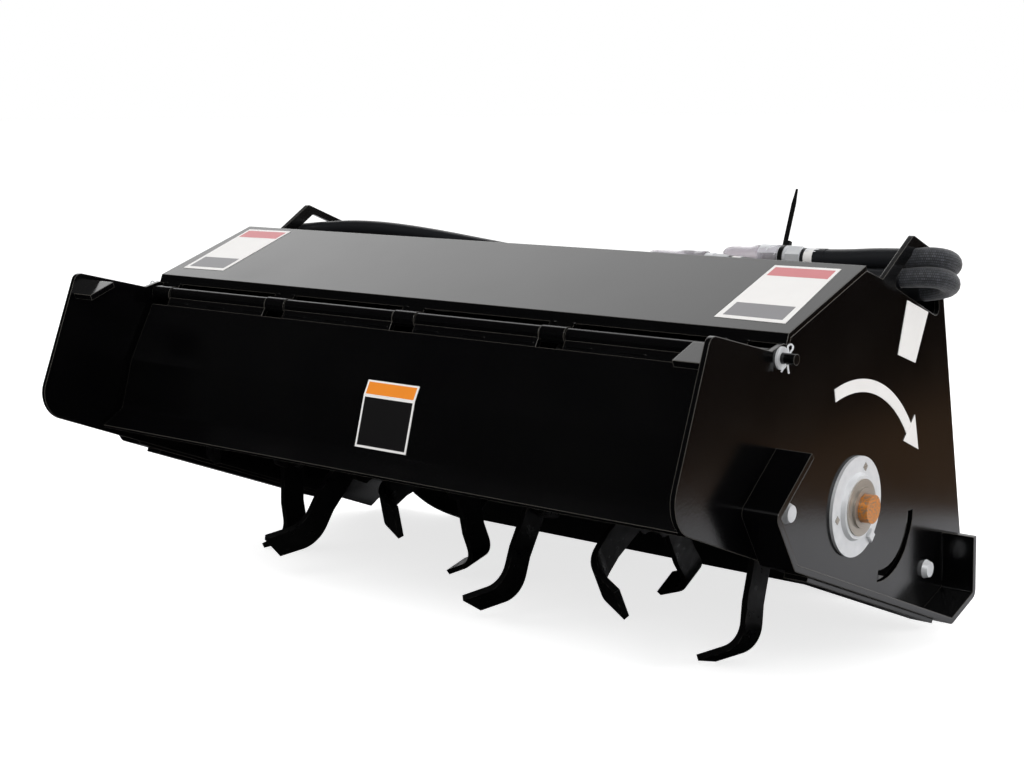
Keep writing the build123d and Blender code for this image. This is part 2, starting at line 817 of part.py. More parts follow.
os.makedirs("parts", exist_ok=True)
turned = {name: piece.part.moved(turn_back) for name, piece in fixed_pieces.items()}
spin = Location((0, 0, 0), (rest_turn, 0, 0))
turned.update({name: piece.part.moved(turn_back * spin) for name, piece in rotor_pieces.items()})
boxes = [piece.bounding_box() for name, piece in turned.items() if name not in cord_pieces]
middle_x = (min(box.min.X for box in boxes) + max(box.max.X for box in boxes)) / 2
middle_y = (min(box.min.Y for box in boxes) + max(box.max.Y for box in boxes)) / 2
floor_z = min(box.min.Z for box in boxes)
set_down = Location((-middle_x, -middle_y, -floor_z))
print("park tilt", round(park_tilt, 3), "axis at", -middle_x, -middle_y, -floor_z, "stand_r", stand_r)
for name, piece in turned.items():
    placed = piece.moved(set_down)
    placed.label = name
    export_step(placed, f"parts/{name}.step")
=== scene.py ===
"""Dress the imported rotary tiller: finishes, hoses, blank signs, bolts, welds and the studio."""

import json
from math import atan2, cos, pi, radians, sin

import bmesh
import bpy
from bpy.props import FloatProperty, FloatVectorProperty, PointerProperty, StringProperty
from mathutils import Matrix, Vector
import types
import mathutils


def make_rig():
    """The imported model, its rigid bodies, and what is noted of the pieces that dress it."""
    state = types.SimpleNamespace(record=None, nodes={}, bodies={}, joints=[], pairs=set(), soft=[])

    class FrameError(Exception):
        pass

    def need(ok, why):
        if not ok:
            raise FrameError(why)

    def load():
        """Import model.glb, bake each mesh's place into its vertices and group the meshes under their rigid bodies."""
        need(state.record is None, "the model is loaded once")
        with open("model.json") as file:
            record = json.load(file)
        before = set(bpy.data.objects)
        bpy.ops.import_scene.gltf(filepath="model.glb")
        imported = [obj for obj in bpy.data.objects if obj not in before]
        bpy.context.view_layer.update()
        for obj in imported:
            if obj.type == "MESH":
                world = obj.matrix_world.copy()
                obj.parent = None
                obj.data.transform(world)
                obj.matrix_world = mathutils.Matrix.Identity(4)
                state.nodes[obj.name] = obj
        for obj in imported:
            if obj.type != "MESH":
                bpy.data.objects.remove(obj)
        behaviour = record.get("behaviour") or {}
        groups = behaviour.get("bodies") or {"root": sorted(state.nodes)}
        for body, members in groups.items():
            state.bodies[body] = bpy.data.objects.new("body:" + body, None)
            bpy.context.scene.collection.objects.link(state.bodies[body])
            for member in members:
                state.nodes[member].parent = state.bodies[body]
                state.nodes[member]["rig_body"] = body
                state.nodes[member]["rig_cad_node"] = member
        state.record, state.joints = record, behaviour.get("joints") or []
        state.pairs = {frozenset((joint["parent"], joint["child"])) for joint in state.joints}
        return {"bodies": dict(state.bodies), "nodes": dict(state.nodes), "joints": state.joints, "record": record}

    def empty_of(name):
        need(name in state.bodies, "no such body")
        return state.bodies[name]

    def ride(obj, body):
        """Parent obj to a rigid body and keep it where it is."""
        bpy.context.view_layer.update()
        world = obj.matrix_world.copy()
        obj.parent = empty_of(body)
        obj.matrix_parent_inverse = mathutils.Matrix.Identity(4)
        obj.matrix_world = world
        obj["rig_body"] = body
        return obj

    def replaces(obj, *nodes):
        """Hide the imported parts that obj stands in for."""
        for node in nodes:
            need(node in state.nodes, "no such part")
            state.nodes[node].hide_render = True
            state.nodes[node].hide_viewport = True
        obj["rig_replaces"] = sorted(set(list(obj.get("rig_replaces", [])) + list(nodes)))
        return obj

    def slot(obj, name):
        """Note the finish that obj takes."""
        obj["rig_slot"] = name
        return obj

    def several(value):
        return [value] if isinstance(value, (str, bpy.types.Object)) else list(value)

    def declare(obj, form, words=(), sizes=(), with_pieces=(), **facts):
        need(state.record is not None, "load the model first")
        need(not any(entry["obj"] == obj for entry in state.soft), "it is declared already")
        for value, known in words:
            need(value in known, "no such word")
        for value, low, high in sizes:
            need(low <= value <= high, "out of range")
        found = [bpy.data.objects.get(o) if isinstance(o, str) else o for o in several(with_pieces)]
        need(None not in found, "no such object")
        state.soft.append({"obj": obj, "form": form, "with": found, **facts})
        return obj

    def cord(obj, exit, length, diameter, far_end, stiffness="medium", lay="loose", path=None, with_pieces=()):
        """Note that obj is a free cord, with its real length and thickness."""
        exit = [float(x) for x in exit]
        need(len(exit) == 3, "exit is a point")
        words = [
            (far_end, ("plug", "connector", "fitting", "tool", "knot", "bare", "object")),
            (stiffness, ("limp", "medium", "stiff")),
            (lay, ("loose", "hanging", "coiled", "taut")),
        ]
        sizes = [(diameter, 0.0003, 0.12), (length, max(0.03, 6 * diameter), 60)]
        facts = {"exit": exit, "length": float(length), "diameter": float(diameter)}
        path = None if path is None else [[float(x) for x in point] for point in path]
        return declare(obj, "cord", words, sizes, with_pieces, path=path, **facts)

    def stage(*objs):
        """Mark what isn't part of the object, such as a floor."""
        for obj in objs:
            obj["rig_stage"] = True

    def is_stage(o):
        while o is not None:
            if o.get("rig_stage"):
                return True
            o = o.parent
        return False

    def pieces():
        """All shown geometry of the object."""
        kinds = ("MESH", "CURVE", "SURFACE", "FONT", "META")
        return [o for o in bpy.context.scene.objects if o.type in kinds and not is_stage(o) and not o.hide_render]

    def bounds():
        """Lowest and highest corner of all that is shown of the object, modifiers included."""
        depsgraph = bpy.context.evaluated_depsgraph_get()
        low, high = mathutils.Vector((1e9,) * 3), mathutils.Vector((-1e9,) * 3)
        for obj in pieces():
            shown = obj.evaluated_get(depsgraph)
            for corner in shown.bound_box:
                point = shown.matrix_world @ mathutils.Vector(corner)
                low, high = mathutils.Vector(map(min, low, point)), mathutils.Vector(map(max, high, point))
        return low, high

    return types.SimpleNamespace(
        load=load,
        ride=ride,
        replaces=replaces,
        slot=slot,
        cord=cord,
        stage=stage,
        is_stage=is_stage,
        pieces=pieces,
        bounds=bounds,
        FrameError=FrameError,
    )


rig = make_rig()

bl_info = {
    "name": "Rotary tiller dressing",
    "version": (1, 0, 0),
    "blender": (4, 5, 0),
    "location": "View3D > Sidebar > Tiller",
    "description": "Finishes, hoses, blank signs, bolts and a studio for a rotary tiller",
    "category": "Object",
}

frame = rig.load()
NODES = frame["nodes"]
CAD_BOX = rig.bounds()
JOINTS = {joint["name"]: joint for joint in frame["joints"]}
AXIS = Vector(JOINTS["rotor_spin"]["pos_m"])
HINGE = Vector(JOINTS["flap_hinge"]["pos_m"])

# The machine is drawn with its runners level and its axis at zero, and stands tipped back by this angle
HINGE_IN_MACHINE = Vector((-0.246, 0.122))
DRAWN_ANGLE = atan2(HINGE_IN_MACHINE.y, HINGE_IN_MACHINE.x)
PARKED_ANGLE = atan2(HINGE.z - AXIS.z, HINGE.y - AXIS.y)
STANCE = Matrix.Translation(AXIS) @ Matrix.Rotation(PARKED_ANGLE - DRAWN_ANGLE, 4, "X")
HALF_IN = 0.5335
HALF_OUT = 0.53985
KNUCKLE_PLACES = [-511.75 + 246.0 * place for place in range(5)]
ROTOR_NODES = ("tines", "rotor_flanges", "rotor_tube")


def parked(x, y, z):
    """Give the place in the shared frame of a point in millimetres of the machine's own drawing."""
    return STANCE @ Vector((x / 1000, y / 1000, z / 1000))


def parked_way(x, y, z):
    """Give the direction in the shared frame of a direction in the machine's own drawing."""
    return (STANCE.to_3x3() @ Vector((x, y, z))).normalized()


def linear(hexcode):
    """Turn an sRGB hex colour into linear RGBA."""
    channels = [int(hexcode[i : i + 2], 16) / 255 for i in (1, 3, 5)]
    return [c / 12.92 if c <= 0.04045 else ((c + 0.055) / 1.055) ** 2.4 for c in channels] + [1.0]


def colour_property(label, words, hexcode):
    """Make a colour property whose default comes from a hex value."""
    return FloatVectorProperty(
        name=label, description=words, subtype="COLOR", size=4, min=0, max=1, default=linear(hexcode)
    )


class TillerFinishes(bpy.types.PropertyGroup):
    """Colours that a user would change."""

    paint: colour_property("Paint", "Gloss black powder coat", "#030304")
    # On the powder coat this colour is a painted highlight along the edges; on the tines it is bare steel where the
    # coat is rubbed off
    edge_wear_and_highlight: colour_property("Worn edge", "Bare steel where the coat is rubbed off", "#6E6A64")
    zinc: colour_property("Zinc", "Clear zinc plating on pressed steel and bolts", "#F0F1F3")
    steel: colour_property("Bearing steel", "Ground bearing rings", "#D2CBC2")
    shaft: colour_property("Shaft", "Orange rust-guard grease on the shaft's end", "#D98A3A")
    rubber: colour_property("Rubber", "Hose cover", "#1C1D20")
    nylon: colour_property("Nylon", "Cable tie", "#0C0C0C")
    sleeve: colour_property("Sleeve", "Woven sleeve over the hoses", "#34363A")
    sign_white: colour_property("Sign white", "White film of the blank signs", "#ECEAE8")
    sign_red: colour_property("Sign red", "Header band of the deck signs", "#CC7478")
    sign_grey: colour_property("Sign grey", "Plain block on the deck signs", "#7C7B7E")
    sign_orange: colour_property("Sign orange", "Header band of the flap's sign", "#EE8A1E")
    sign_black: colour_property("Sign black", "Black field of the flap's sign", "#141314")
    cap: colour_property("Cap", "Clear dust caps", "#F4F2F5")
    floor: colour_property("Floor", "Pale studio floor", "#E6E6E6")


class TillerSizes(bpy.types.PropertyGroup):
    """Sizes that a user would change."""

    hose_d: FloatProperty(
        name="Hose diameter", description="Hose with its sleeve", default=0.022, unit="LENGTH", precision=4
    )
    film: FloatProperty(
        name="Sign film",
        description="How far a sign stands off its plate",
        default=0.0006,
        unit="LENGTH",
        precision=5,
    )
    weld: FloatProperty(
        name="Weld leg", description="Leg of the fillet welds", default=0.006, unit="LENGTH", precision=4
    )
    lens: FloatProperty(
        name="Lens", description="Focal length on a 36 mm sensor", default=58.66, unit="CAMERA"
    )
    folder: StringProperty(
        name="Folder", description="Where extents.json goes", default=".", subtype="DIR_PATH"
    )


def finishes():
    """Give the scene's colour settings."""
    return bpy.context.scene.tiller_finishes


def sizes():
    """Give the scene's size settings."""
    return bpy.context.scene.tiller_sizes


# Materials
def add_node(tree, kind, settings=None, links=None):
    """Add a node with its settings and its links, which map an input to an output socket or a value."""
    node = tree.nodes.new(kind)
    for name, value in (settings or {}).items():
        setattr(node, name, value)
    for socket, value in (links or {}).items():
        if isinstance(value, bpy.types.NodeSocket):
            tree.links.new(value, node.inputs[socket])
        else:
            node.inputs[socket].default_value = value
    return node


def new_material(name):
    """Start a material and give it with its node tree and its shader."""
    material = bpy.data.materials.get(name)
    if material:
        return material, None, None
    material = bpy.data.materials.new(name)
    material.use_nodes = True
    tree = material.node_tree
    return material, tree, tree.nodes["Principled BSDF"]


def set_shader(tree, shader, values):
    """Set sockets of the shader by name, from a value or another node's output."""
    for socket, value in values.items():
        if isinstance(value, bpy.types.NodeSocket):
            tree.links.new(value, shader.inputs[socket])
        else:
            shader.inputs[socket].default_value = value


def object_place(tree):
    """Give the object coordinates."""
    return add_node(tree, "ShaderNodeTexCoord").outputs["Object"]


def noise(tree, place, scale, detail):
    """Give a noise of some scale and detail."""
    links = {"Vector": place, "Scale": scale, "Detail": detail}
    return add_node(tree, "ShaderNodeTexNoise", None, links).outputs["Fac"]


def ranged(tree, value, start, end, low, high, smooth=False):
    """Map a value from start to end onto low to high."""
    settings = {"interpolation_type": "SMOOTHSTEP"} if smooth else None
    links = {"Value": value, "From Min": start, "From Max": end, "To Min": low, "To Max": high}
    return add_node(tree, "ShaderNodeMapRange", settings, links).outputs["Result"]


def blend(tree, factor, first, second, kind="RGBA"):
    """Mix two colours or numbers by a factor."""
    links = {"Factor": factor, "A": first, "B": second}
    return add_node(tree, "ShaderNodeMix", {"data_type": kind}, links).outputs["Result"]


def combine(tree, operation, first, second):
    """Work out one number from two."""
    return add_node(tree, "ShaderNodeMath", {"operation": operation}, {0: first, 1: second}).outputs["Value"]


def dot(tree, first, second):
    """Give the dot product of two vectors."""
    node = add_node(tree, "ShaderNodeVectorMath", {"operation": "DOT_PRODUCT"}, {0: first, 1: second})
    return node.outputs["Value"]


def bumped(tree, height, strength, distance, normal=None, invert=False):
    """Give a bumped normal, from a height in metres."""
    links = {"Height": height, "Strength": strength, "Distance": distance}
    if normal:
        links["Normal"] = normal
    return add_node(tree, "ShaderNodeBump", {"invert": invert}, links).outputs["Normal"]


def rounded_edges(tree, radius):
    """Give the normal of edges rounded by a radius, and how far it agrees with the face's own."""
    rounded = add_node(tree, "ShaderNodeBevel", {"samples": 6}, {"Radius": radius}).outputs["Normal"]
    face = add_node(tree, "ShaderNodeNewGeometry").outputs["Normal"]
    return rounded, dot(tree, rounded, face)


def powder_coat():
    """Baked black powder coat: a glossy skin with a fine orange peel, and a painted highlight along its edges."""
    material, tree, shader = new_material("powder_coat_black")
    if not tree:
        return material
    place = object_place(tree)
    # The coat rounds sharp steel edges by about 1.5 mm, and the edges are painted paler there: a painted highlight
    # where they would catch the light
    rounded, agrees = rounded_edges(tree, 0.0016)
    edge = ranged(tree, agrees, 0.97, 0.8, 0.0, 0.8)
    # Orange peel of about 4 mm, drawn coarser than the real 1.5 mm so that it shows
    peel = noise(tree, place, 260.0, 2.0)
    dust = noise(tree, place, 9.0, 6.0)
    skin = blend(tree, dust, finishes().paint[:], linear("#060606"))
    values = {
        # Base colour: the black skin with a painted highlight on its edges
        "Base Color": blend(tree, edge, skin, finishes().edge_wear_and_highlight[:]),
        "Roughness": ranged(tree, dust, 0.35, 0.75, 0.14, 0.22),
        "Normal": bumped(tree, peel, 0.1, 0.0004, rounded),
        "IOR": 1.5,
    }
    set_shader(tree, shader, values)
    return material


def tine_coat():
    """Dipped black paint on forged tines, thin and a little uneven, rubbed grey on sharp edges."""
    material, tree, shader = new_material("tine_paint_black")
    if not tree:
        return material
    rounded, agrees = rounded_edges(tree, 0.0012)
    scale = noise(tree, object_place(tree), 90.0, 5.0)
    edge = ranged(tree, agrees, 0.98, 0.85, 0.0, 1.0)
    patchy = ranged(tree, scale, 0.5, 0.62, 0.0, 0.55)
    worn = combine(tree, "MULTIPLY", edge, patchy)
    values = {
        "Base Color": blend(tree, worn, linear("#0A0A0A"), finishes().edge_wear_and_highlight[:]),
        "Roughness": ranged(tree, scale, 0.3, 0.7, 0.25, 0.42),
        "Normal": bumped(tree, scale, 0.3, 0.0006, rounded),
        "IOR": 1.5,
    }
    set_shader(tree, shader, values)
    return material


def zinc_plate():
    """Clear zinc plating on pressed steel: bright, slightly cloudy, with a fine grain."""
    material, tree, shader = new_material("zinc_plated_steel")
    if not tree:
        return material
    place = object_place(tree)
    cloud = noise(tree, place, 70.0, 4.0)
    grain = noise(tree, place, 900.0, 2.0)
    values = {
        "Base Color": blend(tree, cloud, finishes().zinc[:], linear("#D8DADD")),
        "Metallic": 0.35,
        "Roughness": ranged(tree, cloud, 0.3, 0.7, 0.42, 0.56),
        "Normal": bumped(tree, grain, 0.08, 0.0002),
    }
    set_shader(tree, shader, values)
    return material


def bearing_steel():
    """Ground bearing rings with turning marks round the shaft."""
    material, tree, shader = new_material("ground_bearing_steel")
    if not tree:
        return material
    links = {"Vector": object_place(tree), "Location": AXIS[:]}
    centred = add_node(tree, "ShaderNodeMapping", {"vector_type": "TEXTURE"}, links)
    # Turning marks about 1 mm apart
    marks = add_node(
        tree,
        "ShaderNodeTexWave",
        {"wave_type": "RINGS", "rings_direction": "X"},
        {"Vector": centred.outputs["Vector"], "Scale": 160.0, "Distortion": 0.4},
    ).outputs["Fac"]
    values = {
        "Base Color": blend(tree, marks, finishes().steel[:], linear("#8A8177")),
        "Metallic": 0.55,
        "Roughness": 0.34,
        "Normal": bumped(tree, marks, 0.1, 0.0003),
    }
    set_shader(tree, shader, values)
    return material


def shaft_paint():
    """Orange rust-guard grease on a turned shaft: blotchy, half clear over steel."""
    material, tree, shader = new_material("rust_guard_orange")
    if not tree:
        return material
    blot = noise(tree, object_place(tree), 420.0, 4.0)
    covered = ranged(tree, blot, 0.36, 0.54, 0.0, 1.0)
    values = {
        "Base Color": blend(tree, covered, linear("#8C7B6C"), finishes().shaft[:]),
        "Metallic": 0.35,
        "Roughness": 0.34,
        "Normal": bumped(tree, blot, 0.4, 0.0008),
    }
    set_shader(tree, shader, values)
    return material


def hose_rubber():
    """Hose cover of black rubber: smooth and satin, with the faint lines of its wrapped cure."""
    material, tree, shader = new_material("wrapped_hose_rubber")
    if not tree:
        return material
    wrap = noise(tree, object_place(tree), 420.0, 3.0)
    values = {
        "Base Color": finishes().rubber[:],
        "Roughness": ranged(tree, wrap, 0.3, 0.7, 0.34, 0.46),
        "Normal": bumped(tree, wrap, 0.2, 0.0003),
    }
    set_shader(tree, shader, values)
    return material


def woven_sleeve():
    """Nylon hose sleeve: a tight black plain weave with soft sheen, read along the sleeve's own map."""
    material, tree, shader = new_material("woven_hose_sleeve")
    if not tree:
        return material
    place = add_node(tree, "ShaderNodeTexCoord").outputs["UV"]
    # 24 yarns round the sleeve and one per 3.5 mm along it, drawn coarser than the real 1.2 mm
    scaled = add_node(tree, "ShaderNodeMapping", None, {"Vector": place, "Scale": (60.0, 24.0, 1.0)})
    yarn = add_node(
        tree,
        "ShaderNodeTexBrick",
        {"offset": 0.5},
        {
            "Vector": scaled.outputs["Vector"],
            "Color1": linear("#4C4E54"),
            "Color2": finishes().sleeve[:],
            "Mortar": linear("#08080A"),
            "Scale": 1.0,
            "Mortar Size": 0.12,
            "Brick Width": 1.0,
            "Row Height": 1.0,
        },
    )
    values = {
        "Base Color": yarn.outputs["Color"],
        "Roughness": 0.6,
        "Normal": bumped(tree, yarn.outputs["Fac"], 0.5, 0.0008, invert=True),
        "Sheen Weight": 0.35,
        "Sheen Roughness": 0.4,
    }
    set_shader(tree, shader, values)
    return material


def moulded_nylon():
    """Moulded black nylon of a cable tie: satin, with a faint sink texture."""
    material, tree, shader = new_material("moulded_black_nylon")
    if not tree:
        return material
    grain = noise(tree, object_place(tree), 600.0, 3.0)
    values = {
        "Base Color": finishes().nylon[:],
        "Roughness": 0.36,
        "Normal": bumped(tree, grain, 0.15, 0.0003),
    }
    set_shader(tree, shader, values)
    return material


def clear_vinyl():
    """Dipped clear vinyl of the dust caps: milky, soft and glossy, the coupler showing through."""
    material, tree, shader = new_material("clear_vinyl_cap")
    if not tree:
        return material
    cloud = noise(tree, object_place(tree), 80.0, 4.0)
    values = {
        "Base Color": blend(tree, cloud, linear("#DAD5DC"), finishes().cap[:]),
        "Roughness": 0.1,
        "Normal": bumped(tree, cloud, 0.4, 0.001),
        "Transmission Weight": 0.8,
        "IOR": 1.45,
    }
    set_shader(tree, shader, values)
    return material


def sign_film(name, colour):
    """Printed vinyl film: an even colour under a satin laminate, with a faint ripple."""
    material, tree, shader = new_material(name)
    if not tree:
        return material
    ripple = noise(tree, object_place(tree), 40.0, 3.0)
    values = {
        "Base Color": blend(tree, ripple, [c * 0.94 for c in colour[:3]] + [1.0], colour[:]),
        "Roughness": 0.38,
        "Normal": bumped(tree, ripple, 0.06, 0.0006),
    }
    set_shader(tree, shader, values)
    return material


# Mesh helpers
def finish_piece(name, bm, materials, body, slot, smooth=True):
    """Make a bmesh into an object that rides on a body and takes a slot's finish."""
    bmesh.ops.remove_doubles(bm, verts=bm.verts, dist=1e-7)
    bmesh.ops.recalc_face_normals(bm, faces=bm.faces)
    mesh = bpy.data.meshes.new(name)
    bm.to_mesh(mesh)
    bm.free()
    for polygon in mesh.polygons:
        polygon.use_smooth = smooth
    for material in materials:
        mesh.materials.append(material)
    piece = bpy.data.objects.new(name, mesh)
    bpy.context.scene.collection.objects.link(piece)
    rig.ride(piece, body)
    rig.slot(piece, slot)
    return piece


def lay(bm, verts, origin, across, normal):
    """Move verts from the XY plane to a plane at origin with x along across and z along normal."""
    z = normal.normalized()
    x = (across - z * across.dot(z)).normalized()
    turn = Matrix((x, z.cross(x), z)).transposed().to_4x4()
    bmesh.ops.transform(bm, matrix=Matrix.Translation(origin) @ turn, verts=verts)


def add_panel(bm, corners, way, lift, index):
    """Add a thin panel that stands off its plate through four corners, as one extruded face."""
    verts = [bm.verts.new(corner) for corner in corners]
    face = bm.faces.new(verts)
    made = bmesh.ops.extrude_face_region(bm, geom=[face])["geom"]
    top = [item for item in made if isinstance(item, bmesh.types.BMVert)]
    bmesh.ops.translate(bm, verts=top, vec=way * lift)
    for vert in verts + top:
        for near in vert.link_faces:
            near.material_index = index


def sub_panel(corners, left, right, top, bottom):
    """Give the corners of a part of a panel, by shares across and down from its first corner."""
    a, b, c, d = corners
    rows = [(a.lerp(d, share), b.lerp(c, share)) for share in (top, bottom)]
    upper = [rows[0][0].lerp(rows[0][1], share) for share in (left, right)]
    lower = [rows[1][0].lerp(rows[1][1], share) for share in (left, right)]
    return [upper[0], upper[1], lower[1], lower[0]]


def head_shape(radius, height, sides=6, chamfer=0.0012):
    """Make a bolt head, nut or washer that stands on the XY plane, its top rim bevelled."""
    bm = bmesh.new()
    bmesh.ops.create_cone(bm, cap_ends=True, segments=sides, radius1=radius, radius2=radius, depth=height)
    bmesh.ops.translate(bm, verts=bm.verts, vec=(0, 0, height / 2))
    rim = [edge for edge in bm.edges if all(vert.co.z > height * 0.9 for vert in edge.verts)]
    bmesh.ops.bevel(bm, geom=rim, offset=chamfer, segments=1, profile=0.5, affect="EDGES", material=-1)
    shape = bpy.data.meshes.new("head")
    bm.to_mesh(shape)
    bm.free()
    return shape


def stamp(bm, shape, place, way):
    """Add a copy of a shape at a place, with its z along a way."""
    move = Matrix.Translation(place) @ way.to_track_quat("Z", "Y").to_matrix().to_4x4()
    shape.transform(move)
    bm.from_mesh(shape)
    shape.transform(move.inverted())


def add_bead(bm, start, end, leg):
    """Add a weld from start to end, with the ripples that a welder's hand leaves."""
    run = end - start
    bar = bmesh.new()
    thick = leg * 0.6
    bmesh.ops.create_cone(bar, cap_ends=True, segments=8, radius1=thick, radius2=thick, depth=run.length)
    long = [edge for edge in bar.edges if edge.calc_length() > run.length * 0.9]
    bmesh.ops.subdivide_edges(bar, edges=long, cuts=max(int(run.length / (leg * 0.3)), 4), use_grid_fill=True)
    for vert in bar.verts:
        end_share = min((run.length / 2 - abs(vert.co.z)) / leg, 1.0)
        wave = (0.45 + 0.55 * end_share) * (1.0 + 0.14 * sin(vert.co.z * 2 * pi / (leg * 0.9)))
        vert.co.x *= wave
        vert.co.y *= wave
    shape = bpy.data.meshes.new("bead")
    bar.to_mesh(shape)
    bar.free()
    stamp(bm, shape, start.lerp(end, 0.5), run.normalized())
    bpy.data.meshes.remove(shape)


def add_ring_bead(bm, centre, radius, leg):
    """Add a weld all round a tube along X."""
    ring = bmesh.new()
    section = bmesh.ops.create_circle(ring, segments=6, radius=leg * 0.6)["verts"]
    bmesh.ops.rotate(ring, verts=section, cent=(0, 0, 0), matrix=Matrix.Rotation(pi / 2, 3, "Y"))
    bmesh.ops.rotate(ring, verts=section, cent=(0, 0, 0), matrix=Matrix.Rotation(pi / 2, 3, "Z"))
    bmesh.ops.translate(ring, verts=section, vec=(0, 0, radius))
    bmesh.ops.spin(
        ring, geom=ring.verts[:] + ring.edges[:], axis=(1, 0, 0), angle=2 * pi, steps=144, use_merge=True
    )
    for vert in ring.verts:
        turn = atan2(vert.co.y, vert.co.z)
        middle = Vector((0, sin(turn), cos(turn))) * radius
        vert.co = middle + (vert.co - middle) * (1.0 + 0.14 * sin(turn * 48))
    shape = bpy.data.meshes.new("bead")
    ring.to_mesh(shape)
    ring.free()
    shape.transform(Matrix.Translation(centre))
    bm.from_mesh(shape)
    bpy.data.meshes.remove(shape)


# Hose routes, in millimetres of the machine's drawing: the part's own, moved to follow the photograph
PORT_X = -591.85
PRESSURE_ROUTE = [
    (PORT_X, -20.0, 92.0),
    (PORT_X, -20.0, 160.0),
    (-605.85, -10.0, 246.0),
    (-585.85, 16.0, 300.0),
    (-529.5, 34.0, 314.0),
    (-439.5, 44.0, 326.0),
    (-320.1, 50.0, 323.0),
    (-138.7, 58.0, 306.0),
    (69.4, 66.0, 287.0),
    (272.1, 72.0, 288.0),
    (420.5, 78.0, 308.0),
    (488.5, 80.0, 316.0),
    (530.5, 79.0, 320.0),
    (555.85, 79.0, 325.0),
    (569.85, 69.0, 327.0),
    (574.85, 53.0, 328.0),
    (569.85, 37.0, 327.0),
    (555.85, 27.0, 325.0),
    (530.5, 27.0, 321.0),
    (488.5, 28.0, 320.0),
    (438.5, 29.3, 315.5),
    (413.5, 30.0, 315.0),
]
RETURN_ROUTE = [
    (PORT_X, 22.0, 92.0),
    (PORT_X, 22.0, 150.0),
    (-603.85, 36.0, 222.0),
    (-587.85, 62.0, 276.0),
    (-531.5, 78.0, 296.0),
    (-439.5, 86.0, 296.0),
    (-298.8, 96.0, 283.0),
    (-112.0, 101.0, 279.0),
    (101.4, 101.0, 280.0),
    (288.1, 103.0, 281.0),
    (430.5, 101.0, 286.0),
    (483.5, 93.0, 288.0),
    (530.5, 86.0, 295.0),
    (554.85, 84.0, 300.0),
    (570.85, 73.0, 302.0),
    (576.85, 55.0, 303.0),
    (570.85, 37.0, 302.0),
    (554.85, 26.0, 299.0),
    (530.5, 24.0, 295.0),
    (488.5, 20.0, 289.0),
    (420.5, 14.0, 290.0),
    (320.5, 6.0, 290.0),
]
HOSES = [
    # piece, CAD node, route, length, coupler
    ("pressure_line", "pressure_hose", PRESSURE_ROUTE, 1.572, "pressure_coupler"),
    ("return_line", "return_hose", RETURN_ROUTE, 1.649, "return_coupler"),
]


# The cover over the hose's last run, from the ear to its collar, in metres
COVER_R = 0.0132


class TILLER_OT_camera(bpy.types.Operator):
    """Set the camera at the photograph's viewing angle"""

    bl_idname = "tiller.camera"
    bl_label = "Camera"

    def execute(self, context):
        data = bpy.data.cameras.new("camera")
        data.lens = sizes().lens
        data.sensor_width = 36.0
        data.clip_end = 50.0
        camera = bpy.data.objects.new("camera", data)
        context.scene.collection.objects.link(camera)
        right = parked_way(0.77574729, 0.58836916, 0.2281181)
        up = parked_way(-0.10216544, -0.23962471, 0.96547513)
        back = parked_way(0.62271852, -0.7722705, -0.12577723)
        turn = Matrix((right, up, back)).transposed().to_4x4()
        camera.matrix_world = Matrix.Translation(parked(1461.5, -1839.6, -205.7)) @ turn
        context.scene.camera = camera
        return {"FINISHED"}


def hose_curve(name, route, depth):
    """Make a hose's curve: one open NURBS spline with the route's points as its control points."""
    curve = bpy.data.curves.new(name, "CURVE")
    curve.dimensions = "3D"
    curve.bevel_depth = depth
    curve.bevel_resolution = 7
    curve.use_fill_caps = depth > 0
    spline = curve.splines.new("NURBS")
    spline.points.add(len(route) - 1)
    for point, place in zip(spline.points, route):
        point.co = (*parked(*place), 1.0)
    spline.order_u = 3
    spline.use_endpoint_u = True
    spline.resolution_u = 10
    return curve


def route_line(route):
    """Read the points along a route's NURBS spline, in order from the motor."""
    bare = bpy.data.objects.new("route", hose_curve("route", route, 0.0))
    mesh = bpy.data.meshes.new_from_object(bare)
    points = [vert.co.copy() for vert in mesh.vertices]
    bpy.data.objects.remove(bare)
    bpy.data.meshes.remove(mesh)
    return points


def tube_piece(name, points, radii, material, slot):
    """Make a tube along points, with a radius at each, that rides on the frame."""
    curve = bpy.data.curves.new(name, "CURVE")
    curve.dimensions = "3D"
    curve.bevel_depth = 1.0
    curve.bevel_resolution = 7
    curve.use_fill_caps = True
    spline = curve.splines.new("POLY")
    spline.points.add(len(points) - 1)
    for point, place, radius in zip(spline.points, points, radii):
        point.co = (*place, 1.0)
        point.radius = radius
    curve.materials.append(material)
    piece = bpy.data.objects.new(name, curve)
    bpy.context.scene.collection.objects.link(piece)
    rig.ride(piece, "frame")
    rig.slot(piece, slot)
    return piece


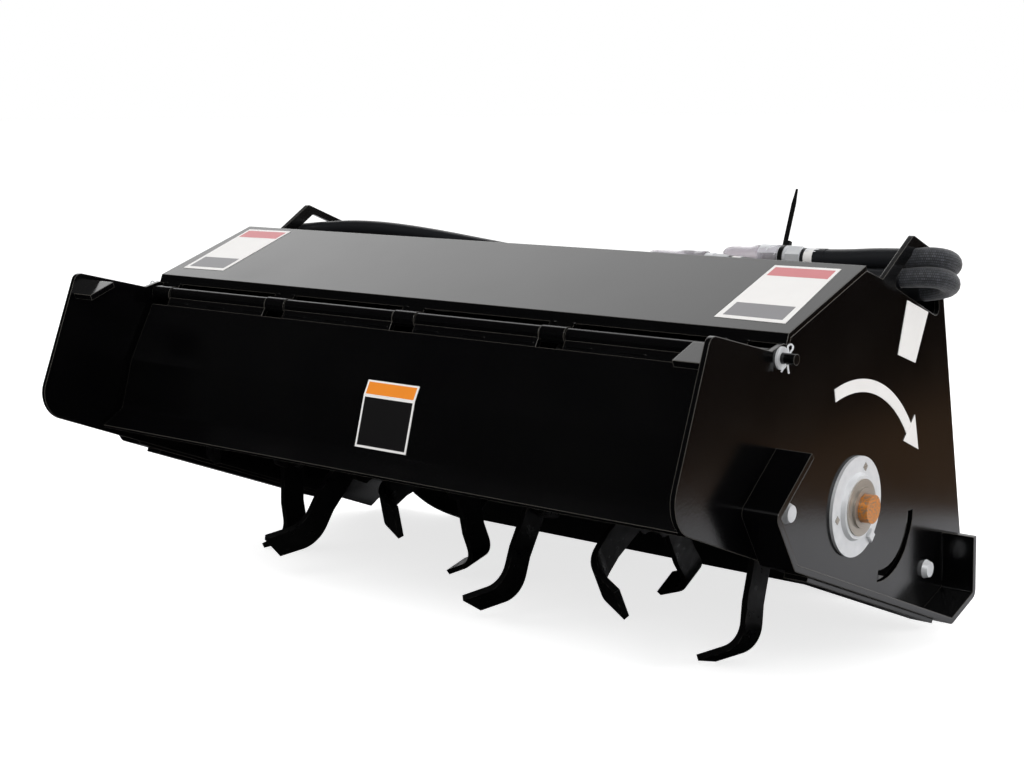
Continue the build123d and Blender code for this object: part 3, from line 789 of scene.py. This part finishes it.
class TILLER_OT_hoses(bpy.types.Operator):
    """Lay the two hoses along their routes, with their sleeves and marker bands"""

    bl_idname = "tiller.hoses"
    bl_label = "Hoses"

    def execute(self, context):
        for name, node, route, length, coupler in HOSES:
            curve = hose_curve(name, route, sizes().hose_d / 2)
            curve.materials.append(hose_rubber())
            hose = bpy.data.objects.new(name, curve)
            context.scene.collection.objects.link(hose)
            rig.ride(hose, "frame")
            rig.replaces(hose, node)
            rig.slot(hose, "hose_sleeve")
            line = route_line(route)
            ear_x = parked(HALF_OUT * 1000, 0, 0).x
            loop = [index for index, point in enumerate(line) if point.x > ear_x - 0.012]
            covered = line[loop[0] : loop[-1] + 1]
            # The sleeve bunches up round the outside of the bend
            swell = [sin(pi * index / (len(covered) - 1)) ** 0.5 for index in range(len(covered))]
            radii = [sizes().hose_d / 2 + 0.0008 + 0.0016 * share for share in swell]
            sleeve = tube_piece(name + "_sleeve", covered, radii, woven_sleeve(), "hose_sleeve")
            run = line[loop[-1] :]
            cover = tube_piece(name + "_cover", run, [COVER_R] * len(run), hose_rubber(), "hose_sleeve")
            pieces = [NODES[coupler], sleeve, cover, bpy.data.objects[name + "_cap"]]
            if node == "pressure_hose":
                pieces.append(bpy.data.objects["nylon_tie"])
            end, way = hose_end(route)
            white = sign_film("sign_film_white", finishes().sign_white)
            # Name, start and stop past the hose's end, radius, finish
            rings = [
                ("_collar", -0.003, 0.0125, 0.0138, hose_rubber()),
                ("_band", 0.0125, 0.0255, 0.0139, white),
                ("_ring", 0.0255, 0.0305, 0.0142, hose_rubber()),
            ]
            for part, start, stop, radius, material in rings:
                span = [end + way * start, end + way * stop]
                pieces.append(tube_piece(name + part, span, [radius, radius], material, "hose_sleeve"))
            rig.cord(
                hose,
                exit=parked(*route[0]),
                length=length,
                diameter=sizes().hose_d,
                far_end="connector",
                stiffness="stiff",
                lay="loose",
                with_pieces=pieces,
            )
        return {"FINISHED"}


# Outline of a dipped dust cap, as (distance from the hose's end, radius) in millimetres
CAP_OUTLINE = [
    (150.0, 0.0),
    (149.8, 9.0),
    (146.5, 11.4),
    (139.0, 12.3),
    (108.0, 12.6),
    (96.0, 15.7),
    (64.2, 15.7),
    (64.2, 16.9),
    (70.0, 17.2),
    (72.0, 16.7),
    (79.0, 16.6),
    (80.0, 16.1),
    (82.0, 16.1),
    (83.0, 16.6),
    (98.0, 16.5),
    (104.0, 16.0),
    (109.0, 14.2),
    (140.0, 13.7),
    (148.5, 12.6),
    (151.8, 9.5),
    (152.0, 0.0),
]


def hose_end(route):
    """Give a hose's end and the way it points there."""
    end = parked(*route[-1])
    return end, (end - parked(*route[-2])).normalized()


class TILLER_OT_caps(bpy.types.Operator):
    """Slip the clear dust caps over the couplers"""

    bl_idname = "tiller.caps"
    bl_label = "Dust caps"

    def execute(self, context):
        for name, node, route, length, coupler in HOSES:
            bm = bmesh.new()
            end, way = hose_end(route)
            side = way.orthogonal().normalized()
            rim = [bm.verts.new(end + way * (along / 1000) + side * (r / 1000)) for along, r in CAP_OUTLINE]
            edges = [bm.edges.new(pair) for pair in zip(rim, rim[1:])]
            bmesh.ops.spin(
                bm, geom=rim + edges, cent=end, axis=way, angle=2 * pi, steps=40, use_merge=True
            )
            cap = finish_piece(name + "_cap", bm, [clear_vinyl()], "frame", "clear_cap")
            if node == "pressure_hose":
                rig.replaces(cap, "dust_caps")
        return {"FINISHED"}


class TILLER_OT_cable_tie(bpy.types.Operator):
    """Draw the cable tie round the front coupler, its tail standing up"""

    bl_idname = "tiller.cable_tie"
    bl_label = "Cable tie"

    def execute(self, context):
        end, way = hose_end(PRESSURE_ROUTE)
        spot = end + way * 0.0595
        up = parked_way(0, 0, 1)
        inner, outer, half = 0.0156, 0.0172, 0.0032
        bm = bmesh.new()
        section = [(inner, -half), (outer, -half), (outer, half), (inner, half)]
        loop = [bm.verts.new(spot + up * r + way * along) for r, along in section]
        edges = [bm.edges.new(pair) for pair in zip(loop, loop[1:] + loop[:1])]
        bmesh.ops.spin(bm, geom=loop + edges, cent=spot, axis=way, angle=2 * pi, steps=40, use_merge=True)
        head = bmesh.ops.create_cube(bm, size=1.0)["verts"]
        bmesh.ops.scale(bm, verts=head, vec=(0.0066, 0.0066, 0.0062))
        bmesh.ops.translate(bm, verts=head, vec=(0, 0, outer + 0.0026))
        corners = [(-half, -0.0007), (half, -0.0007), (half, 0.0007), (-half, 0.0007)]
        middle = 0.005
        tail = [bm.verts.new((middle + x, y, outer)) for x, y in corners]
        tip = bm.faces.new(tail)
        for step in range(8):
            made = bmesh.ops.extrude_face_region(bm, geom=[tip])["geom"]
            ring = [item for item in made if isinstance(item, bmesh.types.BMVert)]
            tip = next(item for item in made if isinstance(item, bmesh.types.BMFace))
            bmesh.ops.translate(bm, verts=ring, vec=(-0.0009, 0.0014, 0.0093))
            middle -= 0.0009
            narrow = 0.66 if step > 5 else 1.0
            bmesh.ops.scale(
                bm, verts=ring, vec=(narrow, 1.0, 1.0), space=Matrix.Translation((-middle, 0, 0))
            )
            tail += ring
        lay(bm, head + tail, spot, way, up)
        tie = finish_piece("nylon_tie", bm, [moulded_nylon()], "frame", "black_nylon", smooth=False)
        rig.replaces(tie, "cable_tie")
        return {"FINISHED"}


class TILLER_OT_finishes(bpy.types.Operator):
    """Give every CAD node its finish"""

    bl_idname = "tiller.finish"
    bl_label = "Finishes"

    def execute(self, context):
        by_slot = {
            "black_paint": powder_coat(),
            "zinc_plate": zinc_plate(),
            "bearing_steel": bearing_steel(),
            "oiled_shaft": shaft_paint(),
            "hose_sleeve": hose_rubber(),
            "clear_cap": clear_vinyl(),
            "black_nylon": moulded_nylon(),
        }
        slots = {part["node"]: part["material_slot"] for part in frame["record"]["subparts"]}
        for name, piece in NODES.items():
            material = tine_coat() if name in ROTOR_NODES else by_slot[slots[name]]
            piece.data.materials.clear()
            piece.data.materials.append(material)
        return {"FINISHED"}


# Signs, as corners in millimetres of the machine's drawing: upper left, upper right, lower right, lower left
DECK_WAY = (0, -0.6495, 0.7604)
DECK_SIGNS = {
    "deck_sign_right": [(425, -108, 264), (515, -107, 265), (523, -223, 166), (428, -222, 167)],
    "deck_sign_left": [(-527, -105, 267), (-436, -103, 268), (-432, -218, 170), (-519, -220, 169)],
}
FLAP_SIGN = [
    # left, right, top and foot in millimetres, films thick, colour
    (-45, 45, 32, -57, 1.0, 0),
    (-42, 42, 29.5, 13.0, 1.3, 1),
    (-42, 42, 9.0, -54, 1.3, 2),
]
SIDE_PANEL = [(27, 268), (91, 271), (84, 202), (32, 199)]
ARROW_CENTRE = (5.0, -48.0)
ARROW_RADII = (187.0, 203.0)
ARROW_FROM = 124.5
ARROW_SWEEP = 66.5
ARROW_HEAD = [(112, 141), (142, 102), (95, 103)]


class TILLER_OT_deck_signs(bpy.types.Operator):
    """Stick the two blank signs on the deck"""

    bl_idname = "tiller.deck_signs"
    bl_label = "Deck signs"

    def execute(self, context):
        way = parked_way(*DECK_WAY)
        on_deck = parked(0, -240, 152)
        film = sizes().film
        for name, drawn in DECK_SIGNS.items():
            corners = [parked(*corner) for corner in drawn]
            corners = [corner - way * (corner - on_deck).dot(way) for corner in corners]
            bm = bmesh.new()
            add_panel(bm, corners, way, film, 0)
            add_panel(bm, sub_panel(corners, 0.05, 0.95, 0.04, 0.2), way, film * 1.3, 1)
            add_panel(bm, sub_panel(corners, 0.08, 0.92, 0.72, 0.95), way, film * 1.3, 2)
            films = [sign_film("sign_film_white", finishes().sign_white)]
            films.append(sign_film("sign_film_red", finishes().sign_red))
            films.append(sign_film("sign_film_grey", finishes().sign_grey))
            finish_piece(name, bm, films, "frame", "clear_cap", smooth=False)
        return {"FINISHED"}


class TILLER_OT_flap_sign(bpy.types.Operator):
    """Stick the blank orange and black sign over the flap's fold"""

    bl_idname = "tiller.flap_sign"
    bl_label = "Flap sign"

    def execute(self, context):
        film = sizes().film
        fold = 12.0
        upper = parked_way(0, -0.99261, 0.12132)
        lower = parked_way(0, -0.99531, -0.09676)

        def face(x, z):
            """Give the place on the flap's outer face at a height."""
            top, bend, foot = (-255.0, 102.0), (-266.0, fold), (-259.0, -60.0)
            low, high = (bend, top) if z >= fold else (foot, bend)
            share = (z - low[1]) / (high[1] - low[1])
            return parked(x, low[0] + (high[0] - low[0]) * share, z)

        bm = bmesh.new()
        for left, right, top, foot, lift, index in FLAP_SIGN:
            if foot < fold < top:
                spans = [(top, fold, upper), (fold, foot, lower)]
            else:
                spans = [(top, foot, upper if foot >= fold else lower)]
            for high, low, way in spans:
                corners = [face(left, high), face(right, high), face(right, low), face(left, low)]
                add_panel(bm, corners, way, film * lift, index)
        films = [sign_film("sign_film_white", finishes().sign_white)]
        films.append(sign_film("sign_film_orange", finishes().sign_orange))
        films.append(sign_film("sign_film_black", finishes().sign_black))
        finish_piece("flap_sign", bm, films, "flap", "clear_cap", smooth=False)
        return {"FINISHED"}


class TILLER_OT_side_signs(bpy.types.Operator):
    """Stick the blank panel and the turning arrow on the bearing-side plate"""

    bl_idname = "tiller.side_signs"
    bl_label = "Side signs"

    def execute(self, context):
        way = Vector((1, 0, 0))
        x = HALF_OUT * 1000
        film = sizes().film
        white = sign_film("sign_film_white", finishes().sign_white)
        bm = bmesh.new()
        add_panel(bm, [parked(x, y, z) for y, z in SIDE_PANEL], way, film, 0)
        finish_piece("side_sign", bm, [white], "frame", "clear_cap", smooth=False)
        bm = bmesh.new()
        centre = parked(x, *ARROW_CENTRE)
        turn = radians(ARROW_FROM)
        start = [centre + parked_way(0, cos(turn), sin(turn)) * (r / 1000) for r in ARROW_RADII]
        ends = [bm.verts.new(place) for place in start]
        rim = bm.edges.new(ends)
        bmesh.ops.spin(
            bm, geom=ends + [rim], cent=centre, axis=(-1, 0, 0), angle=radians(ARROW_SWEEP), steps=28
        )
        # The head lies over the band's end
        head = [bm.verts.new(parked(x + 0.3, y, z)) for y, z in ARROW_HEAD]
        bm.faces.new(head)
        lifted = bmesh.ops.extrude_face_region(bm, geom=bm.faces[:])["geom"]
        top = [item for item in lifted if isinstance(item, bmesh.types.BMVert)]
        bmesh.ops.translate(bm, verts=top, vec=way * film)
        finish_piece("turning_arrow", bm, [white], "frame", "clear_cap", smooth=False)
        return {"FINISHED"}


# Rotor, in millimetres and degrees as in the part's source
FLANGE_PLACES = [-433.5 + 173.4 * place for place in range(6)]
FLANGE_TURNS = [0.0, -45.0, 15.0, -30.0, 30.0, -15.0]
REST_TURN = -2.094
TINE_BOLT_RADII = (0.057, 0.0755)
FLANGE_T = 0.008
TINE_T = 0.008


class TILLER_OT_tine_bolts(bpy.types.Operator):
    """Bolt every tine to its flange"""

    bl_idname = "tiller.tine_bolts"
    bl_label = "Tine bolts"

    def execute(self, context):
        head = head_shape(0.0088, 0.0065)
        nut = head_shape(0.0088, 0.008)
        thread = head_shape(0.0049, 0.004, 14, 0.0006)
        bm = bmesh.new()
        for x, turn in zip(FLANGE_PLACES, FLANGE_TURNS):
            for place in range(4):
                angle = radians(turn + 90 * place + REST_TURN)
                out = Vector((0, sin(angle), -cos(angle)))
                hand = Vector((1, 0, 0)) if place % 2 else Vector((-1, 0, 0))
                for radius in TINE_BOLT_RADII:
                    centre = AXIS + Vector((x / 1000, 0, 0)) + out * radius
                    stamp(bm, head, centre + hand * (FLANGE_T / 2 + TINE_T), hand)
                    stamp(bm, nut, centre - hand * FLANGE_T / 2, -hand)
                    stamp(bm, thread, centre - hand * (FLANGE_T / 2 + 0.008), -hand)
        finish_piece("tine_bolts", bm, [tine_coat()], "rotor", "black_paint", smooth=False)
        return {"FINISHED"}


class TILLER_OT_rod_pins(bpy.types.Operator):
    """Put a split pin through each end of the hinge rod"""

    bl_idname = "tiller.rod_pins"
    bl_label = "Rod pins"

    def execute(self, context):
        for name, side in (("rod_pin_right", 1), ("rod_pin_left", -1)):
            x = side * (HALF_OUT * 1000 + 9)
            y, z = HINGE_IN_MACHINE * 1000
            # Down one leg, round the eye and down the other, in millimetres across and up from the rod
            bend = [(5, -16), (1.6, -9), (1.1, 0), (1.1, 8), (3.2, 11), (3.4, 14.5), (0, 17)]
            loop = bend + [(-across, up) for across, up in bend[-2::-1]]
            curve = bpy.data.curves.new(name, "CURVE")
            curve.dimensions = "3D"
            curve.bevel_depth = 0.0011
            curve.bevel_resolution = 3
            curve.use_fill_caps = True
            spline = curve.splines.new("NURBS")
            spline.points.add(len(loop) - 1)
            for point, (across, up) in zip(spline.points, loop):
                point.co = (*parked(x + across * 0.7, y + across * 0.5, z + up), 1.0)
            spline.order_u = 3
            spline.use_endpoint_u = True
            curve.materials.append(zinc_plate())
            pin = bpy.data.objects.new(name, curve)
            context.scene.collection.objects.link(pin)
            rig.ride(pin, "frame")
            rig.slot(pin, "zinc_plate")
        return {"FINISHED"}


class TILLER_OT_motor_bolts(bpy.types.Operator):
    """Bolt the motor's flange to the side plate and its cap to its body"""

    bl_idname = "tiller.motor_bolts"
    bl_label = "Motor bolts"

    def execute(self, context):
        out = Vector((-1, 0, 0))
        flange_x = -(HALF_OUT + 0.016)
        cap_x = flange_x - 0.074 - 0.042
        washer = head_shape(0.0125, 0.002, 24, 0.0004)
        head = head_shape(0.0098, 0.0075)
        cap_head = head_shape(0.0068, 0.006)
        bm = bmesh.new()
        for place in range(4):
            angle = radians(45 + 90 * place)
            spot = parked(flange_x * 1000, 64 * cos(angle), 64 * sin(angle))
            stamp(bm, washer, spot, out)
            stamp(bm, head, spot + out * 0.002, out)
        for place in range(7):
            angle = radians(20 + 360 / 7 * place)
            spot = parked(cap_x * 1000, 36 * cos(angle), 36 * sin(angle))
            stamp(bm, cap_head, spot, out)
        finish_piece("motor_bolts", bm, [zinc_plate()], "frame", "zinc_plate", smooth=False)
        return {"FINISHED"}


class TILLER_OT_bearing_details(bpy.types.Operator):
    """Add the carriage-bolt squares and the folded tab to the bearing"""

    bl_idname = "tiller.bearing_details"
    bl_label = "Bearing details"

    def execute(self, context):
        out = Vector((1, 0, 0))
        face_x = HALF_OUT * 1000 + 4.0
        square = head_shape(0.0054, 0.0008, 4, 0.0003)
        tab = head_shape(0.0088, 0.0045, 4, 0.001)
        spots = []
        for place in range(3):
            angle = radians(90 + 120 * place)
            spots.append(parked(face_x, 50 * cos(angle), 50 * sin(angle)))
        bm = bmesh.new()
        for spot in spots[:2]:
            stamp(bm, square, spot, out)
        finish_piece("carriage_bolt_ends", bm, [bearing_steel()], "frame", "bearing_steel", smooth=False)
        bm = bmesh.new()
        stamp(bm, tab, spots[2] + parked_way(0, 0.87, -0.5) * 0.004, out)
        finish_piece("bearing_tab", bm, [zinc_plate()], "frame", "zinc_plate", smooth=False)
        return {"FINISHED"}


# The rear wall's own directions in the side view: down its slope, and out of it to the loader
REAR_DOWN = (0.579281, -0.815128)
REAR_OUT = (0.815128, 0.579281)


def on_rear(x, along, out):
    """Give the place at a distance down the rear wall's slope and out from the axis, in millimetres."""
    y = REAR_DOWN[0] * along + REAR_OUT[0] * out
    z = REAR_DOWN[1] * along + REAR_OUT[1] * out
    return parked(x, y, z)


class TILLER_OT_welds(bpy.types.Operator):
    """Lay the weld beads on the housing, the flap and the rotor"""

    bl_idname = "tiller.welds"
    bl_label = "Welds"

    def execute(self, context):
        leg = sizes().weld
        bm = bmesh.new()
        for side in (-1, 1):
            wall_x = side * HALF_IN * 1000
            for start in (-150, -20, 110):
                add_bead(bm, on_rear(wall_x, start, 278), on_rear(wall_x, start + 80, 278), leg * 0.7)
            plate_x = side * 406.5
            for start in (-50, 60, 170):
                add_bead(bm, on_rear(plate_x, start, 279), on_rear(plate_x, start + 65, 279), leg)
            stop_x = side * (HALF_IN * 1000 - 1)
            add_bead(bm, parked(stop_x, -387, 76), parked(stop_x, -357, 103), leg * 0.6)
            outside_x = side * HALF_OUT * 1000
            add_bead(bm, parked(outside_x, 297, -52), parked(outside_x, 266, 13), leg * 0.8)
        for centre in KNUCKLE_PLACES:
            for end in (-15, 15):
                spot = parked(centre + end, -241, 139)
                add_bead(bm, spot, spot + Vector((0.007, 0, 0)), leg * 0.5)
        finish_piece("housing_welds", bm, [powder_coat()], "frame", "black_paint")
        bm = bmesh.new()
        for start, end in zip(KNUCKLE_PLACES, [*KNUCKLE_PLACES[1:], 526.0]):
            low, high = start + 24, end - 24
            for x in (low, (low + high) / 2 - 20, high - 40):
                add_bead(bm, parked(x, -253.5, 107), parked(x + 40, -253.5, 107), leg * 0.55)
        finish_piece("flap_welds", bm, [powder_coat()], "flap", "black_paint")
        bm = bmesh.new()
        for x in FLANGE_PLACES:
            for face in (-1, 1):
                centre = AXIS + Vector((x / 1000 + face * (FLANGE_T / 2 + 0.001), 0, 0))
                add_ring_bead(bm, centre, 0.0455, leg)
        finish_piece("rotor_welds", bm, [tine_coat()], "rotor", "black_paint")
        return {"FINISHED"}


class TILLER_OT_studio(bpy.types.Operator):
    """Set the pale floor and soft studio lights"""

    bl_idname = "tiller.studio"
    bl_label = "Studio"

    def execute(self, context):
        scene = context.scene
        scene.view_settings.view_transform = "Standard"
        bm = bmesh.new()
        bmesh.ops.create_grid(bm, x_segments=1, y_segments=1, size=60)
        mesh = bpy.data.meshes.new("floor")
        bm.to_mesh(mesh)
        bm.free()
        floor = bpy.data.objects.new("floor", mesh)
        scene.collection.objects.link(floor)
        floor.data.materials.append(studio_floor())
        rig.stage(floor)
        self.world(scene)
        lamps = [
            # name, place, target, size across, size up, power
            ("key", (1.3, -2.6, 2.7), (0.0, 0.0, 0.3), 2.0, 1.4, 46.0),
            ("fill", (-1.8, -2.2, 2.0), (0.0, 0.0, 0.3), 2.0, 1.4, 20.0),
            ("top", (0.0, 0.8, 3.2), (0.0, 0.0, 0.3), 3.0, 1.6, 16.0),
            ("rim", (2.9, 1.1, 0.9), (0.6, 0.0, 0.25), 1.2, 1.0, 30.0),
        ]
        for name, place, target, width, height, power in lamps:
            data = bpy.data.lights.new(name, "AREA")
            data.shape = "RECTANGLE"
            data.size = width
            data.size_y = height
            data.energy = power
            lamp = bpy.data.objects.new(name, data)
            lamp.visible_glossy = name == "key"
            lamp.visible_camera = False
            scene.collection.objects.link(lamp)
            way = Vector(target) - Vector(place)
            lamp.rotation_euler = way.to_track_quat("-Z", "Y").to_euler()
            lamp.location = place
        return {"FINISHED"}

    def world(self, scene):
        """White to the camera, even to matt surfaces; gloss shows a pale room behind, a dim one in front."""
        world = bpy.data.worlds.new("studio")
        scene.world = world
        world.use_nodes = True
        tree = world.node_tree
        path = add_node(tree, "ShaderNodeLightPath")
        way = add_node(tree, "ShaderNodeTexCoord").outputs["Generated"]
        behind = dot(tree, way, (0.0, 0.85, -0.2))
        room = ranged(tree, behind, 0.06, 0.27, 0.015, 1.7, smooth=True)
        side = add_node(tree, "ShaderNodeSeparateXYZ", None, {"Vector": way}).outputs["X"]
        box = combine(tree, "MULTIPLY", room, ranged(tree, side, -0.75, -0.4, 1.0, 0.66))
        gloss = blend(tree, path.outputs["Is Glossy Ray"], 0.52, box, "FLOAT")
        seen = combine(tree, "MAXIMUM", path.outputs["Is Camera Ray"], path.outputs["Is Transmission Ray"])
        level = blend(tree, seen, gloss, 1.0, "FLOAT")
        backdrop = tree.nodes["Background"]
        backdrop.inputs["Color"].default_value = (1.0, 1.0, 1.0, 1.0)
        tree.links.new(level, backdrop.inputs["Strength"])


def studio_floor():
    """Seamless white paper: even and matte, white to the camera, keeping the object's shadow; to glossy rays its
    colour is a painted reflection.
    """
    material, tree, shader = new_material("studio_paper_white")
    if not tree:
        return material
    place = object_place(tree)
    fibre = noise(tree, place, 300.0, 2.0)
    path = add_node(tree, "ShaderNodeLightPath")
    seen = combine(tree, "MAXIMUM", path.outputs["Is Camera Ray"], path.outputs["Is Transmission Ray"])
    # Painted reflection: glossy rays see the paper painted pale behind the machine, and dark in front and beside it
    spot = add_node(tree, "ShaderNodeSeparateXYZ", None, {"Vector": place})
    back = ranged(tree, spot.outputs["Y"], 0.1, 0.4, 0.0, 1.0, smooth=True)
    near = ranged(tree, spot.outputs["X"], 1.2, 1.5, 1.0, 0.15, smooth=True)
    # Painted reflection: past an aslant line behind the machine the paper is painted brown for glossy rays, as a room
    # beyond it
    beyond = ranged(tree, dot(tree, place, (0.76, 1.0, 0.0)), 1.42, 1.56, 0.0, 1.0, smooth=True)
    room = blend(tree, beyond, linear("#F0F0F4"), linear("#7A5F47"))
    # The colour that only glossy rays see: a painted reflection in place of the paper's own
    painted_reflection = blend(tree, combine(tree, "MULTIPLY", back, near), linear("#0B0B0C"), room)
    values = {
        "Base Color": blend(tree, path.outputs["Is Glossy Ray"], finishes().floor[:], painted_reflection),
        "Roughness": 0.9,
        "Specular IOR Level": 0.0,
        "Normal": bumped(tree, fibre, 0.02, 0.0005),
        "Emission Color": (1.0, 1.0, 1.0, 1.0),
        "Emission Strength": combine(tree, "MULTIPLY", seen, 0.75),
    }
    set_shader(tree, shader, values)
    return material


class TILLER_PT_panel(bpy.types.Panel):
    """List the dressing steps"""

    bl_idname = "TILLER_PT_panel"
    bl_label = "Rotary tiller"
    bl_space_type = "VIEW_3D"
    bl_region_type = "UI"
    bl_category = "Tiller"

    def draw(self, context):
        for operator in OPERATORS:
            self.layout.operator(operator.bl_idname)
        for group in (context.scene.tiller_finishes, context.scene.tiller_sizes):
            for name in group.__annotations__:
                self.layout.prop(group, name)


OPERATORS = [
    TILLER_OT_camera,
    TILLER_OT_caps,
    TILLER_OT_cable_tie,
    TILLER_OT_hoses,
    TILLER_OT_finishes,
    TILLER_OT_deck_signs,
    TILLER_OT_flap_sign,
    TILLER_OT_side_signs,
    TILLER_OT_tine_bolts,
    TILLER_OT_rod_pins,
    TILLER_OT_motor_bolts,
    TILLER_OT_bearing_details,
    TILLER_OT_welds,
    TILLER_OT_studio,
]
CLASSES = [TillerFinishes, TillerSizes, *OPERATORS, TILLER_PT_panel]


def register():
    """Register the classes and the scene's settings."""
    for cls in CLASSES:
        bpy.utils.register_class(cls)
    bpy.types.Scene.tiller_finishes = PointerProperty(type=TillerFinishes)
    bpy.types.Scene.tiller_sizes = PointerProperty(type=TillerSizes)


def unregister():
    """Take the classes and the scene's settings out again."""
    del bpy.types.Scene.tiller_sizes
    del bpy.types.Scene.tiller_finishes
    for cls in reversed(CLASSES):
        bpy.utils.unregister_class(cls)


def main():
    """Register, dress the tiller and write both boxes."""
    register()
    for operator in OPERATORS:
        group, name = operator.bl_idname.split(".")
        getattr(getattr(bpy.ops, group), name)()
    boxes = {"cad": [list(corner) for corner in CAD_BOX], "visual": [list(corner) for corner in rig.bounds()]}
    with open(sizes().folder + "/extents.json", "w") as handle:
        json.dump(boxes, handle)


if __name__ == "__main__":
    main()
